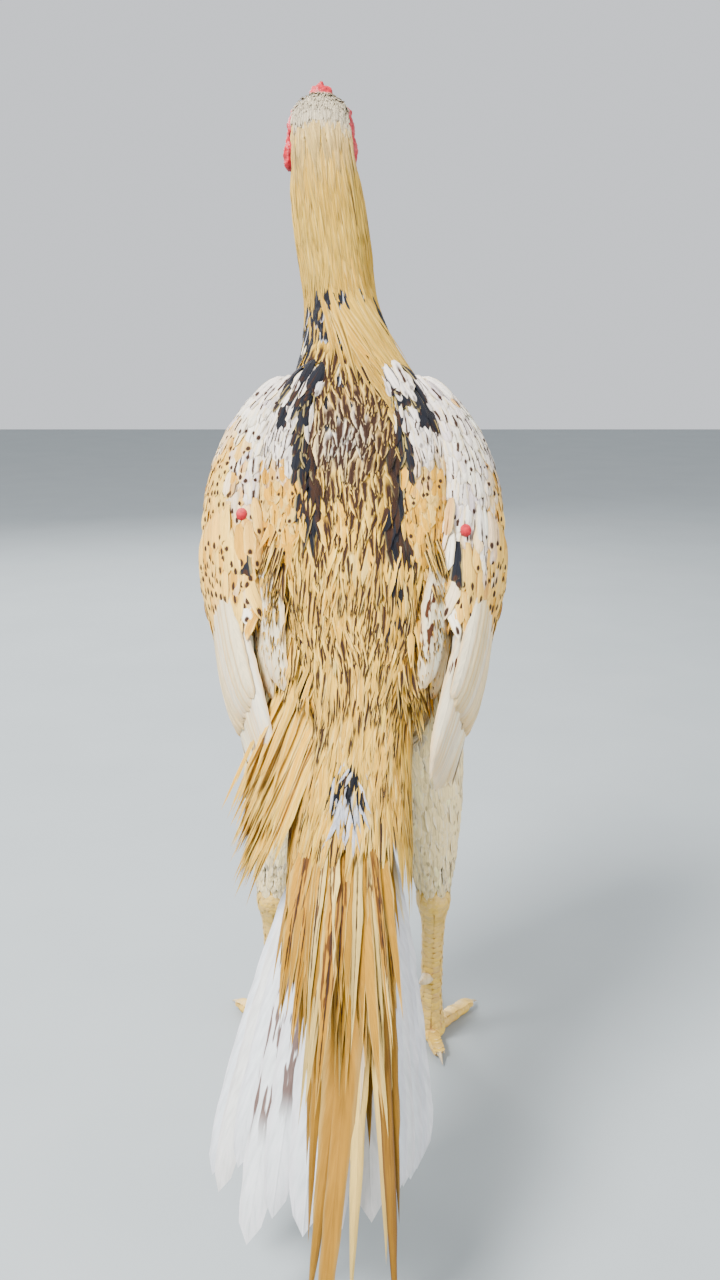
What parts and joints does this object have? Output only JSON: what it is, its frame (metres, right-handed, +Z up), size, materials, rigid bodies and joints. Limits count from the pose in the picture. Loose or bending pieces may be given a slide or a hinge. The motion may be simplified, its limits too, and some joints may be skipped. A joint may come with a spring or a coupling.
{
  "type": "aseel game cock, still life-size model",
  "caption": "Life-size still model of an Aseel cock standing upright on both feet, tail feathers hanging low behind.",
  "frame": {"origin": "on the floor, at the centre of the bird's bounding box seen from above", "axes": "+Z up; the bird faces -Y, its tail points to +Y, and its left side is at +X"},
  "size_m": [0.2352, 0.5006, 0.7563],
  "materials": {
    "body_feather": "soft contour feathers, straw with dark streaks",
    "wing_feather": "wing feathers, cream and white with small dark spots",
    "hackle_feather": "long pointed straw-coloured hackles, silky",
    "thigh_feather": "short soft feathers, cream",
    "tail_feather": "white and golden vaned feathers",
    "face_skin": "bare red skin, finely wrinkled",
    "leg_skin": "pale yellow scaled skin",
    "horn": "pale horn, satin",
    "eye": "wet pearl-coloured eye"
  },
  "bodies": {
    "root": {"back_claw_L": "horn", "back_claw_R": "horn", "back_toe_L": "leg_skin", "back_toe_R": "leg_skin", "beak_lower": "horn", "beak_upper": "horn", "comb": "face_skin", "earlobe_L": "face_skin", "earlobe_R": "face_skin", "eye_L": "eye", "eye_R": "eye", "head": "face_skin", "inner_claw_L": "horn", "inner_claw_R": "horn", "inner_toe_L": "leg_skin", "inner_toe_R": "leg_skin", "middle_claw_L": "horn", "middle_claw_R": "horn", "middle_toe_L": "leg_skin", "middle_toe_R": "leg_skin", "neck": "hackle_feather", "outer_claw_L": "horn", "outer_claw_R": "horn", "outer_toe_L": "leg_skin", "outer_toe_R": "leg_skin", "saddle": "hackle_feather", "shank_L": "leg_skin", "shank_R": "leg_skin", "shoulder_L": "body_feather", "shoulder_R": "body_feather", "spur_L": "horn", "spur_R": "horn", "tail": "tail_feather", "thigh_L": "thigh_feather", "thigh_R": "thigh_feather", "torso": "body_feather", "wattle_L": "face_skin", "wattle_R": "face_skin", "wing_L": "wing_feather", "wing_R": "wing_feather"}
  },
  "joints": []
}
